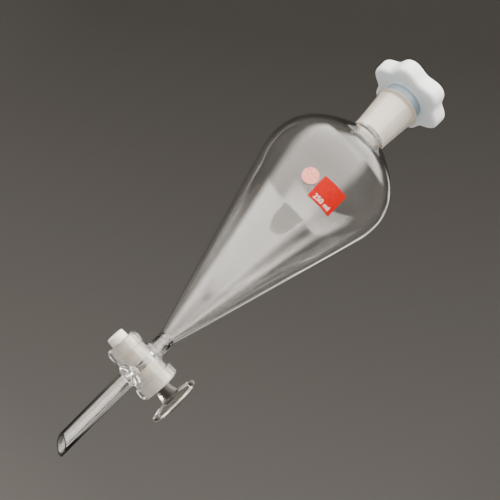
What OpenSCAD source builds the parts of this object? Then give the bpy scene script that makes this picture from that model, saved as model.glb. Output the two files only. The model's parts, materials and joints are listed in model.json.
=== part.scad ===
// Pear-shaped separatory funnel with a ground-glass stopcock and a plastic stopper.
// +Z runs up the funnel's axis and +X along the stopcock's axis, towards its handle.
// The origin is the centre of the circle where a support ring touches the cone.

/* [Bulb] */
// Outside diameter of the bulb at its widest
bulb_d = 75.6; // [74:0.2:80]
// Inside diameter of the support ring that the cone sits in
seat_d = 60; // [52:1:64]
// Angle between the cone's wall and the axis
cone_angle = 14.5; // [13:0.1:16]
// Radius of the curve between the cone and the widest line
belly_r = 47; // [38:1:60]
// Radius of the shoulder's curve above the widest line
shoulder_r = 26; // [22:1:30]
// How far the shoulder's curve turns before the flatter crown starts
shoulder_turn = 42; // [36:1:46]
// Radius of the nearly straight crown between shoulder and neck
crown_r = 110; // [80:5:150]
// Thickness of the blown wall
wall = 1.5; // [1.2:0.1:2]

/* [Neck] */
// Outside diameter of the neck where it leaves the bulb
neck_d = 20.4; // [20:0.1:22]
// Outside diameter of the neck just below its rim
neck_top_d = 24; // [23:0.1:25]
// Outside diameter of the rim bead
rim_d = 26.6; // [26:0.1:28]
// Height of the neck, from the bulb's fillet to the rim
neck_len = 28.6; // [28:0.2:34]
// Radius of the fillet between crown and neck
neck_fillet = 4; // [3:0.5:6]
// Wide end of the ground joint
joint_d = 18.8; // [18.8:0.1:19]
// Length of the ground joint
joint_len = 26; // [24:1:26]

/* [Tubes] */
// Outside diameter of the drain tube and the outlet stem
tube_d = 9.2; // [8.8:0.1:10]
// Thickness of the tubes' walls
tube_wall = 1.2; // [1:0.1:1.4]
// Length from the cone's seal ring to the stopcock's axis
drain_len = 21; // [18:1:30]
// Length from the stopcock's axis to the middle of the cut tip
stem_len = 63; // [50:1:120]
// Angle of the tip's cut, from square
tip_angle = 41; // [30:1:50]
// How far the tip's cut is turned towards the front
tip_turn = 13; // [0:1:30]

/* [Stopcock] */
// Length of the barrel on the small end's side
barrel_small_len = 16.3; // [15:0.1:18]
// Length of the barrel on the handle's side
barrel_large_len = 15.1; // [14:0.1:17]
// Outside diameter of the barrel at the small end's bead
bead_small_d = 19.2; // [18.4:0.1:20]
// Outside diameter of the barrel at the large end's bead
bead_large_d = 23; // [22:0.1:24]
// Diameter of the plug at its small end
plug_small_d = 9.8; // [9.4:0.1:10]
// How far the plug's small end stands out of the barrel
plug_out = 4.2; // [3:0.1:6]
// Diameter of the bore across the plug
plug_bore_d = 3; // [2:0.1:3.2]
// Radial gap between plug and barrel
plug_gap = 0.05; // [0.03:0.01:0.08]
// Diameter of the neck between the plug and its handle
key_neck_d = 8.6; // [8:0.1:9]
// Length of the neck between the plug and its handle
key_neck_len = 6; // [5:0.1:8]
// Length of the handle, tip to tip
handle_len = 32; // [28:1:36]
// Depth of the handle at its middle
handle_depth = 7; // [6.5:0.1:8]
// Thickness of the handle's rim
handle_thick = 4.6; // [4:0.1:5]

/* [Stopper] */
// Diameter of the stopper's head over its lobes
head_d = 45.6; // [42:0.2:48]
// Height of the stopper's head
head_h = 10.3; // [9:0.1:12]
// How far the head stands above the neck's rim
head_lift = 6.3; // [4:0.1:8]
// Number of lobes around the head
lobes = 6; // [5:1:8]
// How far the stopper is turned in the neck
stopper_turn = -7.5; // [-30:0.5:30]
// Radial gap between the stopper and the ground joint
stopper_gap = 0.08; // [0.05:0.01:0.1]
// Thickness of the stopper's hollow shank
shank_wall = 1.4; // [1.2:0.1:1.8]

/* [Markings] */
// Height of the fired capacity patch, along the bulb's wall
label_h = 14.6; // [11:0.2:16]
// Width of the fired capacity patch, around the bulb
label_w = 16.2; // [12:0.2:18]
// Diameter of the plain fired spot
spot_d = 9.6; // [8:0.2:10]

/* [Hidden] */
$fn = 96;

bulb_r = bulb_d / 2;
neck_r = neck_d / 2;
tube_r = tube_d / 2;
bore_r = tube_r - tube_wall;
cone_end_r = tube_r - 0.1;

// Stations up the bulb, from the support ring's circle at z = 0
tangent_r = bulb_r - belly_r * (1 - cos(cone_angle));
widest_z = (tangent_r - seat_d / 2) / tan(cone_angle) + belly_r * sin(cone_angle);
cone_z = -(seat_d / 2 - cone_end_r) / tan(cone_angle);
shoulder_c = [bulb_r - shoulder_r, widest_z];
crown_c = shoulder_c - (crown_r - shoulder_r) * [cos(shoulder_turn), sin(shoulder_turn)];
crown_end = acos((neck_r + neck_fillet - crown_c[0]) / (crown_r + neck_fillet));
neck_z = crown_c[1] + (crown_r + neck_fillet) * sin(crown_end);
rim_z = neck_z + neck_len;

// The ground joint narrows by 1 in 10 on diameter
taper = 1 / 20;
joint_lip = 0.8;
mouth_z = rim_z - joint_lip;
joint_r = joint_d / 2;
joint_small_r = joint_r - joint_len * taper;
rim_r = rim_d / 2;
rim_h = 4;
rim_bead = 1.3;

// Stations along the stopcock
cock_z = cone_z - drain_len;
tip_z = cock_z - stem_len;
bead_small_len = 7.1;
bead_large_len = 6.5;
bead_small_round = 2.6;
bead_large_round = 1.6;
// Rounding of the small bead's inner edge
bead_inner = 1;
// Small rounding where a bead meets the barrel, and at the plug's large end
crease = 0.5;
barrel_small_r = 8.7;
barrel_large_r = 9.7;
plug_start = -barrel_small_len - plug_out;
plug_end = barrel_large_len + 0.4;
flare = 1.8;
key_x = plug_end + key_neck_len;

// The handle is a half moon: two straight inner edges, round tips and an arched outer edge
tip_round = 1.6;
inner_slope = 12;
tip_y = handle_len / 2 - tip_round;
tip_x = tip_round / cos(inner_slope) + (tip_y - key_neck_d / 2) * tan(inner_slope);
outer_rise = handle_depth - tip_x;
outer_arc_r = (pow(tip_y, 2) + pow(outer_rise, 2) - pow(tip_round, 2)) / (2 * (outer_rise - tip_round));
outer_end = asin(tip_y / (outer_arc_r - tip_round));

// The stopper sits in the joint up to the mouth
head_z = rim_z + head_lift;
waist_r = joint_r - 0.5;
collar_r = 11.4;
shank_z = mouth_z - joint_len + 1;
head_round = 2.4;
valley = 0.17;

skin = 0.15;
label_z = 10.9;
label_turn = -84.7;
label_tilt = 5;
spot_z = 12.1;
spot_turn = -109;

// Radius of the plug, and of the barrel's bore without the gap, at a place along the stopcock
function plug_r(x) = plug_small_d / 2 + (x - plug_start) * taper;

// Points of an arc from angle a0 to angle a1, in n steps
function arc(c, r, a0, a1, n) =
    [for (i = [0:n]) c + r * [cos(a0 + (a1 - a0) * i / n), sin(a0 + (a1 - a0) * i / n)]];

// The same arc without its first point, to follow on from the one before
function arc_on(c, r, a0, a1, n) =
    [for (i = [1:n]) c + r * [cos(a0 + (a1 - a0) * i / n), sin(a0 + (a1 - a0) * i / n)]];

// Side line of the bulb, moved inwards by t, from the seal ring up to the neck
function bulb_side(t) = concat(
    [[cone_end_r - t / cos(cone_angle), cone_z]],
    arc([bulb_r - belly_r, widest_z], belly_r - t, -cone_angle, 0, 6),
    arc_on(shoulder_c, shoulder_r - t, 0, shoulder_turn, 12),
    arc_on(crown_c, crown_r - t, shoulder_turn, crown_end, 6),
    arc_on([neck_r + neck_fillet, neck_z], neck_fillet + t, 180 + crown_end, 180, 6));

function reversed(p) = [for (i = [len(p) - 1:-1:0]) p[i]];

// Turned solid whose axis is +X, for a profile of [radius, station] points
module turned_x(profile) {
    rotate([0, 90, 0])
        rotate_extrude()
            polygon(profile);
}

// Everything inside the bulb's side line, moved outwards by t
module bulb_form(t) {
    rotate_extrude()
        polygon(concat([[0, cone_z]], bulb_side(-t), [[0, neck_z]]));
}

// Skin on the bulb's outside, kept where the children are
module fired_skin() {
    intersection() {
        difference() {
            bulb_form(skin);
            bulb_form(0);
        }
        children();
    }
}

// Outer form of the barrel, with a bead at each end
module barrel_form() {
    small_r = bead_small_d / 2;
    large_r = bead_large_d / 2;
    x0 = -barrel_small_len;
    x1 = barrel_large_len;
    turned_x(concat(
        [[0, x0]],
        arc([small_r - bead_small_round, x0 + bead_small_round], bead_small_round, -90, 0, 6),
        arc([small_r - bead_inner, x0 + bead_small_len - bead_inner], bead_inner, 0, 65, 4),
        [[barrel_small_r, x0 + bead_small_len], [barrel_large_r, x1 - bead_large_len]],
        arc([large_r - crease, x1 - bead_large_len + crease], crease, -90, 0, 3),
        arc([large_r - bead_large_round, x1 - bead_large_round], bead_large_round, 0, 90, 5),
        [[0, x1]]));
}

// Tube along Z with a fillet that spreads where it meets the barrel; dir is 1 above it, -1 below
module side_tube(far, dir) {
    foot = 6;
    spread_z = barrel_large_r + flare;
    profile = concat(
        [[bore_r, foot], [tube_r + flare, foot]],
        arc([tube_r + flare, spread_z], flare, 270, 180, 6),
        [[tube_r, far], [bore_r, far]]);
    translate([0, 0, cock_z])
        difference() {
            rotate_extrude()
                polygon([for (p = profile) [p[0], p[1] * dir]]);
            barrel_form();
        }
}

// Ground socket with its rim bead
module neck_socket() {
    throat_r = neck_r - wall;
    ground_z = mouth_z - joint_len;
    bead_start = -20;
    color([0.93, 0.91, 0.88, 0.8])
        rotate_extrude()
            polygon(concat(
                [[throat_r, neck_z], [neck_r, neck_z], [neck_top_d / 2, rim_z - rim_h]],
                arc([rim_r - rim_bead, rim_z - rim_bead], rim_bead, bead_start, 90, 6),
                [[joint_r + joint_lip, rim_z], [joint_r, mouth_z], [joint_small_r, ground_z]]));
}

// Blown bulb and cone
module pear_bulb() {
    color([0.85, 0.9, 0.92, 0.35])
        rotate_extrude()
            polygon(concat(bulb_side(0), reversed(bulb_side(wall))));
}

// Short tube from the seal ring to the barrel
module drain_tube() {
    ring_r = 0.55;
    ring_out = 0.35;
    ring_below = 0.8;
    color([0.85, 0.9, 0.92, 0.35])
        union() {
            side_tube(drain_len, 1);
            translate([0, 0, cone_z - ring_below])
                rotate_extrude()
                    translate([tube_r + ring_out - ring_r, 0])
                        circle(r = ring_r);
        }
}

// Ground barrel with its taper bore and the two holes that the tubes open into
module stopcock_barrel() {
    x0 = -barrel_small_len;
    x1 = barrel_large_len;
    over = 1;
    hole_gap = 0.1;
    color([0.87, 0.86, 0.82, 0.6])
        translate([0, 0, cock_z])
            difference() {
                barrel_form();
                turned_x([
                    [0, x0 - over],
                    [plug_r(x0 - over) + plug_gap, x0 - over],
                    [plug_r(x1 + over) + plug_gap, x1 + over],
                    [0, x1 + over]]);
                cylinder(h = bead_large_d + 2 * over, r = plug_bore_d / 2 + hole_gap, center = true);
            }
}

// Outlet stem, cut off at an angle
module outlet_stem() {
    color([0.85, 0.9, 0.92, 0.35])
        difference() {
            side_tube(stem_len + tube_r * tan(tip_angle) + 1, -1);
            translate([0, 0, tip_z])
                rotate([0, 0, tip_turn])
                    rotate([0, tip_angle, 0])
                        translate([-tube_d, -tube_d, -2 * tube_d])
                            cube([2 * tube_d, 2 * tube_d, 2 * tube_d]);
        }
}

// Ground plug with its cross bore and the neck that carries the handle
module stopcock_plug() {
    round_r = 0.8;
    small_r = plug_r(plug_start);
    large_r = plug_r(plug_end);
    color([0.9, 0.88, 0.84, 0.7])
        translate([0, 0, cock_z])
            difference() {
                turned_x(concat(
                    [[0, plug_start]],
                    arc([small_r - round_r, plug_start + round_r], round_r, -90, 0, 4),
                    arc([large_r - crease, plug_end - crease], crease, 0, 90, 3),
                    [[key_neck_d / 2, plug_end], [key_neck_d / 2, key_x], [0, key_x]]));
                cylinder(h = 4 * plug_small_d, d = plug_bore_d, center = true);
            }
}

// Upper half of the handle's outline, moved inwards by t: stopcock's axis across, stem's upwards
function handle_half(t) = concat(
    [[t / cos(inner_slope), key_neck_d / 2]],
    arc([tip_x, tip_y], tip_round - t, 180 - inner_slope, outer_end, 8),
    arc([handle_depth - outer_arc_r, 0], outer_arc_r - t, outer_end * 0.9, outer_end * 0.1, 6));

// Extruded half moon, moved inwards by t and depth thick
module half_moon(t, depth) {
    half = handle_half(t);
    rotate([90, 0, 0])
        linear_extrude(height = depth, center = true)
            polygon(concat(half, reversed([for (p = half) [p[0], -p[1]]])));
}

// Pressed handle with a rim around the shallow hollow in each face
module plug_handle() {
    rim = 1.1;
    hollow = 0.8;
    color([0.86, 0.9, 0.92, 0.4])
        translate([key_x, 0, cock_z])
            difference() {
                half_moon(0, handle_thick);
                for (side = [-1, 1])
                    translate([0, side * handle_thick / 2, 0])
                        half_moon(rim, 2 * hollow);
            }
}

// Hollow stopper with a lobed head
module stopper() {
    inner_top = 2.5;
    shank_edge = 0.4;
    waist_rise = 0.6;
    collar_above = 0.5;
    collar_edge = 0.4;
    dish_r = 99;
    dish_depth = 1.2;
    over = 1;
    top_z = head_z + head_h;
    head_r = head_d / 2;
    shank_r = joint_r - stopper_gap;
    low_r = shank_r - (mouth_z - shank_z) * taper;
    outline = [for (i = [0:lobes * 16 - 1])
        let (a = 360 * i / (lobes * 16))
        head_r * (1 - valley * (1 - cos(lobes * a)) / 2) * [cos(a), sin(a)]];
    color([0.93, 0.95, 0.97])
        difference() {
            union() {
                intersection() {
                    translate([0, 0, head_z])
                        rotate([0, 0, stopper_turn])
                            linear_extrude(height = head_h)
                                polygon(outline);
                    rotate_extrude()
                        polygon(concat(
                            [[0, head_z]],
                            arc([head_r - head_round, head_z + head_round], head_round, -90, 0, 6),
                            arc([head_r - head_round, top_z - head_round], head_round, 0, 90, 6),
                            [[0, top_z]]));
                }
                rotate_extrude()
                    polygon([
                        [0, shank_z], [low_r - shank_edge, shank_z], [low_r, shank_z + shank_edge],
                        [shank_r, mouth_z], [waist_r, mouth_z + waist_rise],
                        [waist_r, rim_z + collar_above], [collar_r - collar_edge, rim_z + collar_above],
                        [collar_r, rim_z + collar_above + collar_edge], [collar_r, head_z + over],
                        [0, head_z + over]]);
            }
            rotate_extrude()
                polygon([
                    [0, shank_z - over], [low_r - shank_wall, shank_z - over],
                    [shank_r - shank_wall, mouth_z], [shank_r - shank_wall, head_z + inner_top],
                    [0, head_z + inner_top]]);
            translate([0, 0, top_z + dish_r - dish_depth])
                sphere(r = dish_r);
        }
}

// Fired patch that carries the capacity
module capacity_label() {
    color("red")
        fired_skin()
            rotate([0, 0, label_turn])
                translate([bulb_r, 0, label_z])
                    rotate([label_tilt, 0, 0])
                        cube([bulb_r, label_w, label_h], center = true);
}

// Plain fired spot
module marking_spot() {
    color("lightpink")
        fired_skin()
            rotate([0, 0, spot_turn])
                translate([bulb_r / 2, 0, spot_z])
                    rotate([0, 90, 0])
                        cylinder(h = bulb_r, d = spot_d);
}

neck_socket();
pear_bulb();
drain_tube();
stopcock_barrel();
outlet_stem();
stopcock_plug();
plug_handle();
stopper();
capacity_label();
marking_spot();
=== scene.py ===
"""Looks of the separatory funnel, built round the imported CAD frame."""
import json
import math

import bmesh
import bpy
from mathutils import Matrix, Vector


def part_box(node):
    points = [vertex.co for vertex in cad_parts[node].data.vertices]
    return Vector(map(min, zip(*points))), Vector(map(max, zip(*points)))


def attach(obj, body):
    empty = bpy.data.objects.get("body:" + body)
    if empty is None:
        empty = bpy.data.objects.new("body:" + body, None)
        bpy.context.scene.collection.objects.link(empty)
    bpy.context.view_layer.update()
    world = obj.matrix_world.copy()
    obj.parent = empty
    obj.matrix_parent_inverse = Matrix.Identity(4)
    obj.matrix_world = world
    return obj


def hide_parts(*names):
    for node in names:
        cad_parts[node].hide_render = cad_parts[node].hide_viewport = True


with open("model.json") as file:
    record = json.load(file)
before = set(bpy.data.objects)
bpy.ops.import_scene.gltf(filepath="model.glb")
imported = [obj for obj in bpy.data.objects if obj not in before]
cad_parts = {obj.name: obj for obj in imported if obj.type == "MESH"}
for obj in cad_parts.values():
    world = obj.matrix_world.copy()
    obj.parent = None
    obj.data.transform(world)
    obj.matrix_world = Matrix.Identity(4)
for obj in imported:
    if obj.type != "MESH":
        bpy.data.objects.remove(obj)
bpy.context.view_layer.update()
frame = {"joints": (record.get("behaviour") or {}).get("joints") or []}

# Shapes are worked out in millimetres and written to the meshes in metres.
MM = 0.001


def box_mm(node):
    """Lowest and highest corner of a CAD node, in millimetres."""
    low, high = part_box(node)
    return low / MM, high / MM


def joint(name):
    return next(j for j in frame["joints"] if j["name"] == name)


# ---- Places and sizes that the frame gives

bulb_low, bulb_high = box_mm("pear_bulb")
neck_high = box_mm("neck_socket")[1]
barrel_low, barrel_high = box_mm("stopcock_barrel")
stem_low = box_mm("outlet_stem")[0]
plug_low = box_mm("stopcock_plug")[0]
handle_low, handle_high = box_mm("plug_handle")
stopper_low, stopper_high = box_mm("stopper")
label_low, label_high = box_mm("capacity_label")
spot_low, spot_high = box_mm("marking_spot")
cock_z = joint("stopcock_turn")["pos_m"][2] / MM

# ---- Sizes of the glass and the stopper

wall = 1.5
seat_r = 30.0
cone_angle = math.radians(14.5)
belly_r = 47.0
shoulder_r = 26.0
shoulder_turn = math.radians(42)
crown_r = 110.0
neck_fillet = 4.0
neck_r = 10.2
neck_top_r = 12.0
joint_len = 26.0
joint_r = 9.4
# Change of radius along every ground taper
taper = 1 / 20
tube_r = 4.6
bore_r = 3.4
# Outside of the cone where it meets the tube
cone_end_r = tube_r - 0.1
plug_bore_r = 1.5
# Half width of the clear greased ring round the plug's cross bore
greased = 1.9
# How far the plug stands out of the barrel at the handle's end
plug_out = 0.4
key_neck_r = 4.3
# Length of each tube stub from the stopcock's axis
stub = 13.5
head_depth = 10.3

bulb_r = bulb_high.x
cone_z = bulb_low.z
neck_z = bulb_high.z
rim_z = neck_high.z
rim_r = neck_high.x
mouth_z = rim_z - 0.8
head_under = stopper_high.z - head_depth
plug_end = barrel_high.x + plug_out
widest_z = (bulb_r - belly_r * (1 - math.cos(cone_angle)) - seat_r) / math.tan(cone_angle)
widest_z += belly_r * math.sin(cone_angle)


def arc(centre, radius, start, end, steps):
    """Points along an arc, angles in radians from the first axis towards the second."""
    turns = [start + (end - start) * i / steps for i in range(steps + 1)]
    return [(centre[0] + radius * math.cos(a), centre[1] + radius * math.sin(a)) for a in turns]


def bulb_side(inset):
    """Side line of the bulb from the seal ring to the neck, as (radius, height), moved inwards."""
    shoulder = (bulb_r - shoulder_r, widest_z)
    reach = crown_r - shoulder_r
    crown = (shoulder[0] - reach * math.cos(shoulder_turn), shoulder[1] - reach * math.sin(shoulder_turn))
    end = math.acos((neck_r + neck_fillet - crown[0]) / (crown_r + neck_fillet))
    belly = arc((bulb_r - belly_r, widest_z), belly_r - inset, -cone_angle, 0, 12)
    foot = (cone_end_r - inset / math.cos(cone_angle), cone_z)
    rise = 40
    cone = [(foot[0] + (belly[0][0] - foot[0]) * i / rise, foot[1] + (belly[0][1] - foot[1]) * i / rise)
            for i in range(rise)]
    return (cone + belly
            + arc(shoulder, shoulder_r - inset, 0, shoulder_turn, 20)[1:]
            + arc(crown, crown_r - inset, shoulder_turn, end, 12)[1:]
            + arc((neck_r + neck_fillet, neck_z), neck_fillet + inset, math.pi + end, math.pi, 10)[1:])


# ---- Mesh helpers

def new_object(name, points, faces, materials, indices=None):
    """Mesh object from points in millimetres, with a material index for each face."""
    mesh = bpy.data.meshes.new(name)
    mesh.from_pydata([Vector(p) * MM for p in points], [], faces)
    for m in materials:
        mesh.materials.append(m)
    if indices:
        mesh.polygons.foreach_set("material_index", indices)
    thing = bpy.data.objects.new(name, mesh)
    bpy.context.scene.collection.objects.link(thing)
    return thing


def soften(thing, angle=35):
    """Smooth shading, with edges sharper than the angle left crisp."""
    mesh = thing.data
    mesh.polygons.foreach_set("use_smooth", [True] * len(mesh.polygons))
    mesh.set_sharp_from_angle(angle=math.radians(angle))


def turn(name, profile, materials, indices=None, steps=128, closed=True, along_x=False, shape=None):
    """Solid of revolution. profile is a loop of (radius, height, ...) points, with poles at radius 0.

    indices gives a material for each stretch of the profile. shape moves a point (angle, radius,
    height) to its (radius, height). along_x lays the axis along the stopcock.
    """
    points, rows = [], []
    for r, h in profile:
        if r < 1e-6:
            rows.append([len(points)] * steps)
            points.append((0, 0, h))
            continue
        row = []
        for i in range(steps):
            a = 2 * math.pi * i / steps
            rr, hh = shape(a, r, h) if shape else (r, h)
            row.append(len(points))
            points.append((rr * math.cos(a), rr * math.sin(a), hh))
        rows.append(row)
    faces, kinds = [], []
    count = len(rows)
    for k in range(count if closed else count - 1):
        low, high = rows[k], rows[(k + 1) % count]
        if low[0] == low[1] and high[0] == high[1]:
            continue
        for i in range(steps):
            j = (i + 1) % steps
            corners = []
            for v in (low[i], low[j], high[j], high[i]):
                if v not in corners:
                    corners.append(v)
            faces.append(corners)
            kinds.append(indices[k] if indices else 0)
    if along_x:
        points = [(z, y, cock_z - x) for x, y, z in points]
    thing = new_object(name, points, faces, materials, kinds)
    outwards(thing)
    return thing


def outwards(thing):
    """Turns every face outwards."""
    shape = bmesh.new()
    shape.from_mesh(thing.data)
    bmesh.ops.recalc_face_normals(shape, faces=shape.faces)
    shape.to_mesh(thing.data)
    shape.free()


def baked(thing):
    """Replaces the mesh with what its modifiers make of it."""
    bpy.context.view_layer.update()
    seen = thing.evaluated_get(bpy.context.evaluated_depsgraph_get())
    mesh = bpy.data.meshes.new_from_object(seen)
    thing.modifiers.clear()
    thing.data = mesh


def combine(target, tool, operation):
    """Joins the tool to the target, or cuts it away, and removes the tool."""
    step = target.modifiers.new(operation, "BOOLEAN")
    step.operation = operation
    step.object = tool
    step.solver = "EXACT"
    baked(target)
    bpy.data.objects.remove(tool)


def finish_piece(thing, body, nodes):
    """Gives a piece its body and hides the CAD nodes that it stands for."""
    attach(thing, body)
    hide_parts(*nodes)


# ---- Materials

def material(name):
    """A new node material, its Principled shader and a function that adds and links nodes."""
    made = bpy.data.materials.new(name)
    made.use_nodes = True
    tree = made.node_tree
    shader = next(n for n in tree.nodes if n.type == "BSDF_PRINCIPLED")
    place = tree.nodes.new("ShaderNodeTexCoord")

    def add(kind, inputs=None, **settings):
        node = tree.nodes.new(kind)
        for key, value in settings.items():
            setattr(node, key, value)
        for key, value in (inputs or {}).items():
            if isinstance(value, bpy.types.NodeSocket):
                tree.links.new(value, node.inputs[key])
            else:
                node.inputs[key].default_value = value
        return node

    def link(output, socket):
        tree.links.new(output, shader.inputs[socket])

    return made, shader, place.outputs["Object"], add, link


def ramp(add, value, stops):
    """Colour ramp with the given (position, colour) stops."""
    node = add("ShaderNodeValToRGB", {"Fac": value})
    band = node.color_ramp
    while len(band.elements) < len(stops):
        band.elements.new(0.5)
    for element, (place, colour) in zip(band.elements, stops):
        element.position = place
        element.color = (*colour, 1)
    return node.outputs["Color"]


GLASS_IOR = 1.474
# Painted shade: darker tones in the glass's colour where it is seen edge on, standing in for the dark
# outlines that clear glass shows there, by how far the surface faces away
PAINTED_EDGE_SHADE = [(0.68, (0.76, 0.755, 0.745)), (0.85, (0.40, 0.395, 0.385)), (1.0, (0.15, 0.147, 0.142))]


def clear_glass(name, stretch, wave, tint, shine):
    """Borosilicate glass, with waves from the blowing or the press, a share of its reflections and painted
    shade at its edges.
    """
    made, shader, place, add, link = material(name)
    shader.inputs["Roughness"].default_value = 0.0
    shader.inputs["IOR"].default_value = GLASS_IOR
    shader.inputs["Transmission Weight"].default_value = 1.0
    edge = add("ShaderNodeLayerWeight", {"Blend": 0.5})
    shader.inputs["Specular Tint"].default_value = (shine, shine, shine, 1)
    # The base colour darkens towards the outline: painted dark edges.
    link(ramp(add, edge.outputs["Facing"], [(0.0, tint), (0.5, tint)] + PAINTED_EDGE_SHADE), "Base Color")
    drawn = add("ShaderNodeMapping", {"Vector": place, "Scale": stretch})
    waves = add("ShaderNodeTexNoise", {"Vector": drawn.outputs["Vector"], "Scale": 1.0, "Detail": 2.0})
    bump = add("ShaderNodeBump", {"Height": waves.outputs["Fac"], "Strength": wave, "Distance": 0.002})
    link(bump.outputs["Normal"], "Normal")
    return made


def ground_glass(name, clear, low, high, rough_low, rough_high, size):
    """Ground joint surface: a fine white grain, with patches of the given size in metres."""
    made, shader, place, add, link = material(name)
    shader.inputs["IOR"].default_value = GLASS_IOR
    shader.inputs["Transmission Weight"].default_value = clear
    cloud = add("ShaderNodeTexNoise", {"Vector": place, "Scale": 1 / size, "Detail": 4.0})
    link(ramp(add, cloud.outputs["Fac"], [(0.3, low), (0.7, high)]), "Base Color")
    rough = add("ShaderNodeMapRange",
                {"Value": cloud.outputs["Fac"], "From Min": 0.3, "From Max": 0.7, "To Min": rough_low,
                 "To Max": rough_high})
    link(rough.outputs["Result"], "Roughness")
    grain = add("ShaderNodeTexNoise", {"Vector": place, "Scale": 9000.0, "Detail": 2.0})
    bump = add("ShaderNodeBump", {"Height": grain.outputs["Fac"], "Strength": 0.35, "Distance": 0.00005})
    link(bump.outputs["Normal"], "Normal")
    return made


def fused_seam():
    """Where two blown sections are fused there is no surface, so this one doesn't show."""
    made, shader = material("fused_seam")[:2]
    shader.inputs["Alpha"].default_value = 0.0
    return made


def stopper_plastic():
    """White polyethylene: waxy, with a soft moulded grain, and painted blue-grey shade on the thin collar
    under the head.
    """
    made, shader, place, add, link = material("stopper_plastic")
    cloud = add("ShaderNodeTexNoise", {"Vector": place, "Scale": 90.0, "Detail": 3.0})
    skin = ramp(add, cloud.outputs["Fac"], [(0.3, (0.80, 0.88, 0.97)), (0.7, (0.88, 0.94, 0.99))])
    split = add("ShaderNodeSeparateXYZ", {"Vector": place})
    # Painted shade: the collar between the neck's rim and the head's underside is coloured dark blue-grey,
    # standing in for the shadowed recess there.
    below = add("ShaderNodeMapRange", {"Value": split.outputs["Z"], "From Min": (head_under - 0.3) * MM,
                                       "From Max": (head_under - 1.2) * MM})
    above = add("ShaderNodeMapRange", {"Value": split.outputs["Z"], "From Min": (rim_z - 1) * MM,
                                       "From Max": rim_z * MM})
    thin = add("ShaderNodeMath", {0: below.outputs["Result"], 1: above.outputs["Result"]},
               operation="MULTIPLY")
    colour = add("ShaderNodeMix", {"Factor": thin.outputs["Value"], 6: skin, 7: (0.22, 0.30, 0.36, 1)},
                 data_type="RGBA")
    link(colour.outputs[2], "Base Color")
    rough = add("ShaderNodeMapRange", {"Value": cloud.outputs["Fac"], "To Min": 0.3, "To Max": 0.42})
    link(rough.outputs["Result"], "Roughness")
    shader.inputs["Subsurface Weight"].default_value = 0.6
    shader.inputs["Subsurface Radius"].default_value = (0.004, 0.0045, 0.005)
    shader.inputs["Subsurface Scale"].default_value = 1.0
    shader.inputs["IOR"].default_value = 1.5
    grain = add("ShaderNodeTexNoise", {"Vector": place, "Scale": 2500.0, "Detail": 2.0})
    bump = add("ShaderNodeBump", {"Height": grain.outputs["Fac"], "Strength": 0.12, "Distance": 0.0001})
    link(bump.outputs["Normal"], "Normal")
    return made


def enamel(name, low, high, rough_low, rough_high):
    """Fired enamel: two close tones in a fine mottle, and an uneven gloss."""
    made, shader, place, add, link = material(name)
    mottle = add("ShaderNodeTexNoise", {"Vector": place, "Scale": 700.0, "Detail": 5.0})
    link(ramp(add, mottle.outputs["Fac"], [(0.35, low), (0.7, high)]), "Base Color")
    gloss = add("ShaderNodeMapRange",
                {"Value": mottle.outputs["Fac"], "To Min": rough_low, "To Max": rough_high})
    link(gloss.outputs["Result"], "Roughness")
    shader.inputs["Specular IOR Level"].default_value = 0.06
    bump = add("ShaderNodeBump", {"Height": mottle.outputs["Fac"], "Strength": 0.2, "Distance": 0.00005})
    link(bump.outputs["Normal"], "Normal")
    return made


glass = clear_glass("clear_glass", (60, 60, 14), 0.05, (0.985, 0.985, 0.98), 1.0)
pressed = clear_glass("pressed_glass", (300, 160, 90), 0.1, (0.66, 0.63, 0.59), 0.15)
ground = ground_glass("ground_glass", 0.06, (0.93, 0.86, 0.77), (0.98, 0.92, 0.84), 0.42, 0.6, 0.004)
fitted = ground_glass("fitted_ground_glass", 0.46, (0.80, 0.75, 0.67), (0.98, 0.94, 0.87), 0.24, 0.08, 0.004)
seam = fused_seam()
plastic = stopper_plastic()
red_enamel = enamel("red_enamel", (0.40, 0.004, 0.002), (0.48, 0.008, 0.004), 0.3, 0.5)
white_enamel = enamel("white_enamel", (0.82, 0.80, 0.78), (0.92, 0.90, 0.88), 0.3, 0.5)
pink_enamel = enamel("pink_enamel", (0.78, 0.25, 0.21), (0.88, 0.40, 0.34), 0.35, 0.55)
GLASS_SET = [glass, ground, seam]
FITTED_SET = [glass, fitted, seam, ground]
PRESSED_SET = [pressed, ground, seam]
CLEAR, GROUND, SEAM, DRY = 0, 1, 2, 3


# ---- The glass body

def make_neck():
    """Ground socket: smooth outside, ground inside, with a fire-polished rim bead."""
    bead = 1.3
    bulge = 1.3
    top_z = rim_z - 4.2
    throat_r = neck_r - wall
    ground_z = mouth_z - joint_len
    outside = [(neck_r, neck_z)]
    steps, inside_steps = 12, 6
    for i in range(1, steps + 1):
        t = i / steps
        outside.append((neck_r + (neck_top_r - neck_r) * t ** bulge, neck_z + (top_z - neck_z) * t))
    outside += [(neck_top_r + 0.25, rim_z - 3.4), (neck_top_r + 0.8, rim_z - 2.7)]
    outside += arc((rim_r - bead, rim_z - bead), bead, math.radians(-25), math.radians(90), 10)
    lip = [(joint_r + 0.9, rim_z - 0.03), (joint_r + 0.35, rim_z - 0.25), (joint_r, mouth_z)]
    inside = [(joint_r - joint_len * taper * i / inside_steps, mouth_z - joint_len * i / inside_steps)
              for i in range(1, inside_steps + 1)]
    throat = [(throat_r - 0.3, ground_z - 0.9), (throat_r, neck_z)]
    profile = outside + lip + inside + throat
    first = len(outside) + len(lip) - 1
    rim_top = len(outside) - 4
    kinds = [GROUND if rim_top <= k < first + len(inside) else CLEAR for k in range(len(profile))]
    kinds[-1] = SEAM
    piece = turn("neck_glass", profile, GLASS_SET, kinds, steps=144)
    soften(piece)
    finish_piece(piece, "glass_body", ["neck_socket"])


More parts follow.
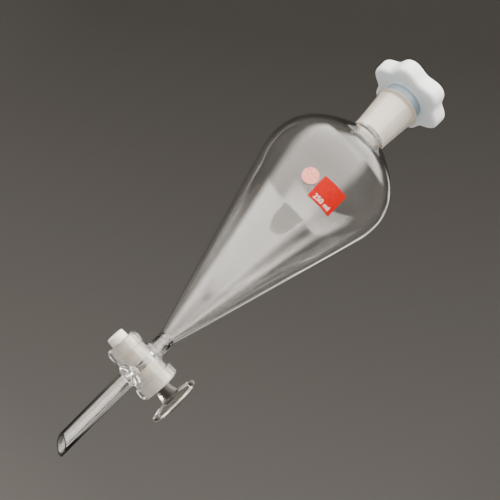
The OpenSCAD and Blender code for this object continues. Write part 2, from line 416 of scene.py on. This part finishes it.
def make_bulb():
    """Blown bulb and cone, from the seal ring to the neck."""
    outside = bulb_side(0)
    inside = bulb_side(wall)
    kinds = [CLEAR] * (len(outside) + len(inside))
    kinds[len(outside) - 1] = SEAM
    kinds[-1] = SEAM
    piece = turn("bulb_glass", outside + inside[::-1], GLASS_SET, kinds, steps=192)
    soften(piece, 60)
    finish_piece(piece, "glass_body", ["pear_bulb"])


def make_drain():
    """Short tube under the cone, with the seal's ring at its top."""
    low = cock_z + stub
    ring, ring_tall = 0.25, 1.6
    steps = 8
    ring_z = cone_z - ring_tall
    inner = cone_end_r - wall / math.cos(cone_angle)
    outside = [(tube_r, low), (tube_r, ring_z)]
    outside += [(tube_r + ring * math.sin(math.pi * i / steps), ring_z + ring_tall * i / steps)
                for i in range(1, steps)]
    outside.append((cone_end_r, cone_z))
    inside = [(inner, cone_z), (bore_r, low + 1), (bore_r, low)]
    kinds = [CLEAR] * (len(outside) + len(inside))
    kinds[len(outside) - 1] = SEAM
    kinds[-1] = SEAM
    piece = turn("drain_glass", outside + inside, GLASS_SET, kinds, steps=96)
    soften(piece)
    finish_piece(piece, "glass_body", ["drain_tube"])


def barrel_side():
    """Outside of the barrel as (radius, station along the stopcock)."""
    bead_r = barrel_high.z - cock_z
    small_bead_r = 9.6
    small_len, large_len = 7.1, 6.5
    small_r, large_r = 8.7, 9.7
    small_edge, large_edge = 2.6, 1.6
    inner_edge = 1.0
    crease = 0.45
    x0, x1 = barrel_low.x, barrel_high.x
    quarter = math.pi / 2
    return (
        [(0, x0)]
        + arc((small_bead_r - small_edge, x0 + small_edge), small_edge, -quarter, 0, 10)
        + arc((small_bead_r - inner_edge, x0 + small_len - inner_edge), inner_edge, 0, quarter * 0.7, 6)
        + [(small_r, x0 + small_len), (large_r, x1 - large_len - 0.25)]
        + arc((bead_r - crease, x1 - large_len + crease), crease, -quarter, 0, 4)
        + arc((bead_r - large_edge, x1 - large_edge), large_edge, 0, quarter, 8)
        + [(0, x1)])


def plug_r(x):
    """Radius of the plug at a station along the stopcock."""
    small_r = 4.9
    return small_r + (x - plug_low.x) * taper


def make_barrel():
    """Stopcock barrel, with the stubs of both tubes fused to it."""
    flare = 2.0
    reach = 9.6
    gap = 0.05
    over = 2.0
    side = barrel_side()
    piece = turn("barrel_glass", side, FITTED_SET, steps=128, closed=False, along_x=True)
    stub_half = [(0, stub), (tube_r, stub)] + arc((tube_r + flare, reach + flare), flare, math.pi,
                                                  1.5 * math.pi, 8) + [(tube_r + flare, 5)]
    both = [(r, cock_z + h) for r, h in stub_half] + [(r, cock_z - h) for r, h in stub_half[::-1]]
    kinds = [CLEAR] * len(both)
    kinds[0] = SEAM
    kinds[len(both) - 2] = SEAM
    combine(piece, turn("stubs", both, FITTED_SET, kinds, steps=96, closed=False), "UNION")
    hole = plug_bore_r + 0.1
    way = [(0, stub + over), (bore_r, stub + over), (bore_r, 11.2), (bore_r - 0.25, 10.3),
           (bore_r - 0.8, 9.7), (hole + 0.25, 9.2), (hole, 8.8)]
    way = [(r, cock_z + h) for r, h in way] + [(r, cock_z - h) for r, h in way[::-1]]
    combine(piece, turn("way", way, FITTED_SET, steps=96, closed=False), "DIFFERENCE")
    x0, x1 = barrel_low.x - over, barrel_high.x + over
    seat = [(0, x0)] + [(plug_r(x) + gap, x) for x in (x0, -greased, greased, x1)] + [(0, x1)]
    kinds = [GROUND, GROUND, CLEAR, GROUND, GROUND, GROUND]
    cutter = turn("seat", seat, FITTED_SET, kinds, steps=128, closed=False, along_x=True)
    combine(piece, cutter, "DIFFERENCE")
    soften(piece, 32)
    finish_piece(piece, "glass_body", ["stopcock_barrel"])


def make_stem():
    """Outlet stem with its angled, fire-polished tip."""
    top = cock_z - stub
    lowest = stem_low.z
    tip_angle = math.radians(41)
    tip_turn = math.radians(13)
    rise = tube_r * math.tan(tip_angle)
    over = 4
    profile = [(tube_r, top), (tube_r, lowest - over), (bore_r, lowest - over), (bore_r, top)]
    piece = turn("stem_glass", profile, GLASS_SET, [CLEAR, CLEAR, CLEAR, SEAM], steps=96)
    shape = bmesh.new()
    shape.from_mesh(piece.data)
    normal = Vector((-math.sin(tip_angle) * math.cos(tip_turn), -math.sin(tip_angle) * math.sin(tip_turn),
                     -math.cos(tip_angle)))
    cut = bmesh.ops.bisect_plane(
        shape, geom=shape.verts[:] + shape.edges[:] + shape.faces[:],
        plane_co=Vector((0, 0, lowest + rise)) * MM, plane_no=normal, clear_outer=True)
    edges = [e for e in cut["geom_cut"] if isinstance(e, bmesh.types.BMEdge)]
    made = bmesh.ops.bridge_loops(shape, edges=edges)
    rim = {e for f in made["faces"] for e in f.edges if e in set(edges)}
    bmesh.ops.bevel(shape, geom=list(rim), offset=0.28 * MM, segments=4, profile=0.5, affect="EDGES")
    bmesh.ops.recalc_face_normals(shape, faces=shape.faces)
    shape.to_mesh(piece.data)
    shape.free()
    soften(piece)
    finish_piece(piece, "glass_body", ["outlet_stem"])


# ---- The stopcock key

def make_plug():
    """Ground taper plug with its cross bore."""
    edge = 0.8
    quarter = math.pi / 2
    x0 = plug_low.x
    x1 = plug_end
    steps = 16
    stations = [x0 + edge + (x1 - 2 * edge - x0) * i / steps for i in range(1, steps)]
    apart = 0.2
    stations = [x for x in stations if abs(x) > greased + apart] + [-greased, greased]
    side = [(plug_r(x), x) for x in sorted(stations)]
    profile = ([(0, x0)] + arc((plug_r(x0) - edge, x0 + edge), edge, -quarter, 0, 6) + side
               + arc((plug_r(x1) - edge, x1 - edge), edge, 0, quarter, 6) + [(key_neck_r, x1), (0, x1)])
    kinds = [DRY if station < barrel_low.x else CLEAR if -greased <= station < greased else GROUND
             for r, station in profile]
    kinds[-2] = SEAM
    kinds[-3] = CLEAR
    piece = turn("plug_glass", profile, FITTED_SET, kinds, steps=128, closed=False, along_x=True)
    reach = 12
    low, high = cock_z - reach, cock_z + reach
    bore = [(0, low), (plug_bore_r, low), (plug_bore_r, high), (0, high)]
    combine(piece, turn("bore", bore, FITTED_SET, steps=64, closed=False), "DIFFERENCE")
    soften(piece)
    finish_piece(piece, "stopcock_key", ["stopcock_plug"])


def eased(t):
    """Smooth step from 0 to 1."""
    return t * t * (3 - 2 * t)


def lofted(name, points, rows, around):
    """Closed form of the handle's glass through rings of points."""
    faces = []
    for k in range(rows):
        for i in range(around):
            j = (i + 1) % around
            faces.append([k * around + i, k * around + j, (k + 1) * around + j, (k + 1) * around + i])
    faces.append(list(range(around)))
    faces.append([rows * around + i for i in range(around)][::-1])
    piece = new_object(name, points, faces, PRESSED_SET)
    outwards(piece)
    return piece


def handle_blade():
    """Half-moon blade, lofted from tip to tip with a thick rim and dished faces."""
    half = (handle_high.z - handle_low.z) / 2
    depth = handle_high.x - handle_low.x
    thick = handle_high.y - handle_low.y
    root = handle_low.x
    rows, around = 72, 120
    rake = math.tan(math.radians(12))
    bow = 2.0
    tip_from = 0.84
    least = 0.02
    dished, hollow = 0.34, 0.72
    points = []
    for k in range(rows + 1):
        v = -math.cos(math.pi * k / rows)
        z = v * half
        away = abs(v)
        inner = max(0.0, abs(z) - key_neck_r) * rake
        outer = depth - bow * away ** 2
        close = math.sqrt(max(0.0, 1 - max(0.0, (away - tip_from) / (1 - tip_from)) ** 2))
        middle = root + (inner + outer) / 2
        width = max(least, (outer - inner) / 2 * close)
        high = max(least, thick / 2 * close)
        for i in range(around):
            a = 2 * math.pi * i / around
            c, s = math.cos(a), math.sin(a)
            across = math.copysign(abs(c) ** 0.7, c)
            up = math.copysign(abs(s) ** 0.3, s)
            inside = min(1.0, max(0.0, (hollow - abs(across)) / 0.22))
            inside *= min(1.0, max(0.0, (tip_from - away) / 0.1))
            dish = 1 - dished * eased(inside)
            points.append((middle + width * across, high * up * dish, cock_z + z))
    return lofted("handle_glass", points, rows, around)


def handle_neck():
    """Round neck of the key that flattens and spreads into the blade."""
    start = barrel_high.x - 0.8
    end = handle_low.x + 2.2
    spread = 2.2
    rows, around = 16, 48
    points = []
    for k in range(rows + 1):
        t = k / rows
        x = start + (end - start) * t
        tall = key_neck_r + spread * eased(t) ** 2
        thin = key_neck_r - spread * eased(t)
        for i in range(around):
            a = 2 * math.pi * i / around
            points.append((x, thin * math.sin(a), cock_z + tall * math.cos(a)))
    return lofted("handle_neck", points, rows, around)


def make_handle():
    """Pressed handle and its neck, melted into one form and cut off flat at the plug."""
    piece = handle_blade()
    combine(piece, handle_neck(), "UNION")
    melt = piece.modifiers.new("melt", "REMESH")
    melt.mode = "VOXEL"
    melt.voxel_size = 0.22 * MM
    ease = piece.modifiers.new("ease", "SMOOTH")
    ease.factor = 0.6
    ease.iterations = 8
    baked(piece)
    shape = bmesh.new()
    shape.from_mesh(piece.data)
    cut = bmesh.ops.bisect_plane(
        shape, geom=shape.verts[:] + shape.edges[:] + shape.faces[:],
        plane_co=Vector((plug_end, 0, 0)) * MM, plane_no=Vector((-1, 0, 0)), clear_outer=True)
    edges = [e for e in cut["geom_cut"] if isinstance(e, bmesh.types.BMEdge)]
    made = bmesh.ops.contextual_create(shape, geom=edges)
    for face in made["faces"]:
        face.material_index = SEAM
    bmesh.ops.recalc_face_normals(shape, faces=shape.faces)
    shape.to_mesh(piece.data)
    shape.free()
    soften(piece, 50)
    finish_piece(piece, "stopcock_key", ["plug_handle"])


# ---- The stopper

def make_stopper():
    """Hollow shank and lobed head in one moulding."""
    lobes = 6
    valley, sharp = 0.17, 1.1
    shank_r = joint_r - 0.08
    shank_z = stopper_low.z
    low_r = shank_r - (mouth_z - shank_z) * taper
    skin = 1.4
    waist_r = joint_r - 0.5
    collar_r = 11.4
    collar_z = rim_z + 0.5
    top = stopper_high.z
    under = head_under
    head_r = 22.8
    edge = 2.4
    turned = math.radians(-7.5)
    quarter = math.pi / 2
    profile = [(0, under + 2.5), (shank_r - skin - 0.8, under + 2.5), (shank_r - skin, under + 1.7),
               (shank_r - skin, mouth_z), (low_r - skin, shank_z + 0.5), (low_r - skin + 0.4, shank_z),
               (low_r - 0.4, shank_z), (low_r, shank_z + 0.5), (shank_r, mouth_z - 0.2),
               (shank_r - 0.1, mouth_z), (waist_r, mouth_z + 0.5), (waist_r, collar_z),
               (collar_r - 0.4, collar_z), (collar_r - 0.1, collar_z + 0.1), (collar_r, collar_z + 0.4),
               (collar_r, under - 0.8), (collar_r + 0.2, under - 0.25), (collar_r + 0.8, under)]
    first = collar_r + 0.8
    profile += [(first + (head_r - edge - first) * i / 6, under) for i in range(1, 6)]
    profile += arc((head_r - edge, under + edge), edge, -quarter, 0, 10)
    profile += arc((head_r - edge, top - edge), edge, 0, quarter, 10)
    profile += [(head_r - edge - 1.5, top - 0.05), (head_r * 0.62, top - 0.35), (head_r * 0.4, top - 0.9),
                (head_r * 0.2, top - 1.1), (0, top - 1.15)]

    def lobed(a, r, h):
        """Lobes grow from nothing at the collar to full depth at the head's edge."""
        if h < under - 1 or r < collar_r + 1 and h < under + 1:
            return r, h
        grow = eased(min(1.0, max(0.0, (r - collar_r) / (head_r - edge - collar_r))))
        wave = ((1 - math.cos(lobes * (a - turned))) / 2) ** sharp
        return r * (1 - valley * grow * wave), h

    piece = turn("stopper_moulding", profile, [plastic], steps=240, closed=False, shape=lobed)
    soften(piece, 50)
    finish_piece(piece, "stopper_body", ["stopper"])


# ---- The fired markings

def side_r(z):
    """Outside radius of the bulb at a height."""
    line = bulb_side(0)
    for (r0, z0), (r1, z1) in zip(line, line[1:]):
        if z0 <= z <= z1:
            return r0 + (r1 - r0) * (z - z0) / (z1 - z0)
    return neck_r


def on_bulb(a, b, middle, lift):
    """Point on the bulb's outside: a across and b up its wall from the middle, raised by lift."""
    z = middle[1] + b * math.cos(cone_angle)
    turned = middle[0] + a / side_r(z)
    r = side_r(z) + lift * math.cos(cone_angle)
    return (r * math.cos(turned), r * math.sin(turned), z - lift * math.sin(cone_angle))


def middle_of(low, high):
    """Bearing and height of a marking's middle, from its CAD box."""
    return math.atan2((low.y + high.y) / 2, (low.x + high.x) / 2), (low.z + high.z) / 2


label_middle = middle_of(label_low, label_high)
spot_middle = middle_of(spot_low, spot_high)
label_tilt = math.radians(5)
label_w, label_h = 16.2, 14.6
spot_r = 4.7
skin_low, skin_high = 0.02, 0.12


def tilted(a, b):
    """Turns a place on the label by the label's tilt."""
    return (a * math.cos(label_tilt) - b * math.sin(label_tilt),
            a * math.sin(label_tilt) + b * math.cos(label_tilt))


def patch(name, outline, middle, enamelled, rings=8):
    """Thin skin on the bulb inside a closed outline of (across, up) points."""
    around = len(outline)
    points, faces = [], []
    for lift in (skin_low, skin_high):
        points.append(on_bulb(0, 0, middle, lift))
        for k in range(1, rings + 1):
            points += [on_bulb(a * k / rings, b * k / rings, middle, lift) for a, b in outline]
    block = rings * around + 1
    for base in (0, block):
        for i in range(around):
            j = (i + 1) % around
            faces.append([base, base + 1 + i, base + 1 + j])
            for k in range(rings - 1):
                row = base + 1 + k * around
                faces.append([row + i, row + around + i, row + around + j, row + j])
    last = 1 + (rings - 1) * around
    for i in range(around):
        j = (i + 1) % around
        faces.append([last + i, last + j, block + last + j, block + last + i])
    piece = new_object(name, points, faces, [enamelled])
    outwards(piece)
    soften(piece, 40)
    return piece


def label_outline():
    """Rectangle with slightly rounded corners, tilted on the bulb."""
    corner_r = 0.4
    along = 16
    corners = []
    for k, (sx, sy) in enumerate(((1, 1), (-1, 1), (-1, -1), (1, -1))):
        middle = (sx * (label_w / 2 - corner_r), sy * (label_h / 2 - corner_r))
        corners.append(arc(middle, corner_r, k * math.pi / 2, (k + 1) * math.pi / 2, 4))
    outline = []
    for k in range(4):
        start, end = corners[k][-1], corners[(k + 1) % 4][0]
        outline += corners[k]
        outline += [(start[0] + (end[0] - start[0]) * i / along, start[1] + (end[1] - start[1]) * i / along)
                    for i in range(1, along)]
    return [tilted(a, b) for a, b in outline]


def make_numerals():
    """Capacity in plain numerals along the label's lower edge."""
    height = 3.05
    cap_share = 0.72
    text = bpy.data.curves.new("capacity_numerals", "FONT")
    text.body = "250 ml"
    text.size = height / cap_share
    text.extrude = 0.03
    text.offset = -0.015
    text.align_x = "CENTER"
    text.resolution_u = 6
    thing = bpy.data.objects.new("capacity_text", text)
    bpy.context.scene.collection.objects.link(thing)
    bpy.context.view_layer.update()
    mesh = bpy.data.meshes.new_from_object(thing.evaluated_get(bpy.context.evaluated_depsgraph_get()))
    bpy.data.objects.remove(thing)
    lowest = -label_h / 2 + 1.2
    squeeze = 0.98
    raised = skin_high + 0.04
    for vertex in mesh.vertices:
        a, b = tilted(vertex.co.x * squeeze, vertex.co.y + lowest)
        vertex.co = Vector(on_bulb(a, b, label_middle, raised + vertex.co.z)) * MM
    mesh.materials.append(white_enamel)
    piece = bpy.data.objects.new("capacity_numerals", mesh)
    bpy.context.scene.collection.objects.link(piece)
    finish_piece(piece, "glass_body", [])


def make_markings():
    label = patch("label_enamel", label_outline(), label_middle, red_enamel)
    finish_piece(label, "glass_body", ["capacity_label"])
    spot = patch("spot_enamel", arc((0, 0), spot_r, 0, 2 * math.pi, 96)[:-1], spot_middle, pink_enamel)
    finish_piece(spot, "glass_body", ["marking_spot"])
    make_numerals()


# ---- Camera, backdrop and lights

VIEW_AZIMUTH = math.radians(-7)
VIEW_ELEVATION = math.radians(-29)
VIEW_ROLL = math.radians(44.86)
VIEW_DISTANCE = 1.5
VIEW_LENS = 204.7


def make_camera():
    """Long lens on the stem's side, looking up, rolled so that the stopper is at the upper right."""
    data = bpy.data.cameras.new("camera")
    data.lens = VIEW_LENS
    data.clip_end = 50
    camera = bpy.data.objects.new("camera", data)
    bpy.context.scene.collection.objects.link(camera)
    back = Vector((math.sin(VIEW_AZIMUTH) * math.cos(VIEW_ELEVATION),
                   -math.cos(VIEW_AZIMUTH) * math.cos(VIEW_ELEVATION), math.sin(VIEW_ELEVATION)))
    right = Vector((math.cos(VIEW_AZIMUTH), math.sin(VIEW_AZIMUTH), 0))
    aim = Vector((0, 0, -0.0272)) - right * 0.00184
    camera.location = aim + back * VIEW_DISTANCE
    level = (-back).to_track_quat("-Z", "Y").to_matrix()
    roll = Matrix.Rotation(VIEW_ROLL, 3, "Z")
    camera.matrix_world = Matrix.Translation(camera.location) @ (level @ roll).to_4x4()
    bpy.context.scene.camera = camera


def make_backdrop():
    """Studio sweep all round: a pale floor that curves up into walls, and a darker ceiling."""
    floor_z, wall_r, cove, ceiling_z = -2.5, 4.6, 2.0, 4.5
    profile = [(0.0, floor_z), (wall_r - cove, floor_z)]
    profile += arc((wall_r - cove, floor_z + cove), cove, -math.pi / 2, 0, 16)[1:]
    profile += arc((wall_r - cove, ceiling_z - cove), cove, 0, math.pi / 2, 16)
    profile += [(0.0, ceiling_z)]
    made, shader, place, add, link = material("pale_sweep")
    shader.inputs["Roughness"].default_value = 0.9
    shader.inputs["Specular IOR Level"].default_value = 0.1
    split = add("ShaderNodeSeparateXYZ", {"Vector": place})
    height = add("ShaderNodeMapRange",
                 {"Value": split.outputs["Z"], "From Min": floor_z, "From Max": ceiling_z})
    across = add("ShaderNodeMapRange", {"Value": split.outputs["X"], "From Min": -0.1, "From Max": 1.2,
                                        "To Min": 0.079, "To Max": -0.079})
    upper = add("ShaderNodeMapRange", {"Value": height.outputs["Result"], "From Min": 0.4, "From Max": 0.6})
    lean = add("ShaderNodeMath", {0: across.outputs["Result"], 1: upper.outputs["Result"]},
               operation="MULTIPLY")
    leaning = add("ShaderNodeMath", {0: height.outputs["Result"], 1: lean.outputs["Value"]},
                  operation="ADD")
    glow = ramp(add, leaning.outputs["Value"],
                [(0.0, (0.42, 0.41, 0.395)), (0.12, (0.12, 0.117, 0.113)), (0.5, (0.105, 0.099, 0.093)),
                 (0.6, (0.096, 0.088, 0.081)), (0.82, (0.010, 0.009, 0.008))])
    link(glow, "Emission Color")
    paint = ramp(add, height.outputs["Result"],
                 [(0.0, (0.45, 0.44, 0.425)), (0.35, (0.36, 0.353, 0.342)), (0.62, (0.10, 0.096, 0.09))])
    link(paint, "Base Color")
    shader.inputs["Emission Strength"].default_value = 1.0
    sweep = turn("floor_sweep", [(r / MM, h / MM) for r, h in profile], [made], steps=96, closed=False)
    soften(sweep, 60)


def tent(name, azimuth, wide, low, high, glow_low, glow_high, soft_a, soft_e, distance=2.3):
    """Curved soft box round the object, between two elevations in degrees; it fades out at its rim."""
    columns, rows = 24, 16
    half_a, half_e = math.radians(wide / 2), math.radians((high - low) / 2)
    middle_e = math.radians((high + low) / 2)
    points = []
    for j in range(rows + 1):
        e = middle_e + half_e * (2 * j / rows - 1)
        for i in range(columns + 1):
            a = half_a * (2 * i / columns - 1)
            points.append(Vector((math.cos(e) * math.cos(a), math.cos(e) * math.sin(a), math.sin(e)))
                          * (distance / MM))
    faces = [[j * (columns + 1) + i, j * (columns + 1) + i + 1, (j + 1) * (columns + 1) + i + 1,
              (j + 1) * (columns + 1) + i] for j in range(rows) for i in range(columns)]
    made, shader, at, add, link = material(name)
    shader.inputs["Base Color"].default_value = (0.0, 0.0, 0.0, 1)
    shader.inputs["Specular IOR Level"].default_value = 0.0
    split = add("ShaderNodeSeparateXYZ", {"Vector": at})
    flat = add("ShaderNodeMath", {0: split.outputs["Y"], 1: split.outputs["X"]}, operation="ARCTAN2")
    rise = add("ShaderNodeMath", {0: split.outputs["Z"], 1: distance}, operation="DIVIDE")
    lifted = add("ShaderNodeMath", {0: rise.outputs["Value"]}, operation="ARCSINE")
    tall = add("ShaderNodeMath", {0: lifted.outputs["Value"], 1: middle_e}, operation="SUBTRACT")
    fades = []
    for angle, half, soft in ((flat, half_a, soft_a), (tall, half_e, soft_e)):
        far = add("ShaderNodeMath", {0: angle.outputs["Value"]}, operation="ABSOLUTE")
        fade = add("ShaderNodeMapRange", {"Value": far.outputs["Value"], "From Min": half * (1 - soft),
                                          "From Max": half, "To Min": 1.0, "To Max": 0.0},
                   interpolation_type="SMOOTHSTEP")
        fades.append(fade.outputs["Result"])
    both = add("ShaderNodeMath", {0: fades[0], 1: fades[1]}, operation="MULTIPLY")
    link(both.outputs["Value"], "Alpha")
    shader.inputs["Emission Color"].default_value = (1.0, 0.935, 0.86, 1)
    glow = add("ShaderNodeMapRange", {"Value": lifted.outputs["Value"], "From Min": middle_e - half_e,
                                      "From Max": middle_e + half_e, "To Min": glow_low, "To Max": glow_high})
    link(glow.outputs["Result"], "Emission Strength")
    panel = new_object(name, points, faces, [made])
    panel.rotation_euler.z = math.radians(azimuth - 90)


def make_lights():
    tent("tent_front", -33, 136, -6, 58, 5.4, 10.0, 0.35, 0.18)
    tent("tent_top", 15, 170, 46, 88, 6.5, 6.5, 0.4, 0.3)
    tent("tent_rear", 145, 14, 8, 60, 2.0, 2.0, 0.9, 0.6)


make_camera()
make_backdrop()
make_lights()
make_neck()
make_bulb()
make_drain()
make_barrel()
make_stem()
make_plug()
make_handle()
make_stopper()
make_markings()
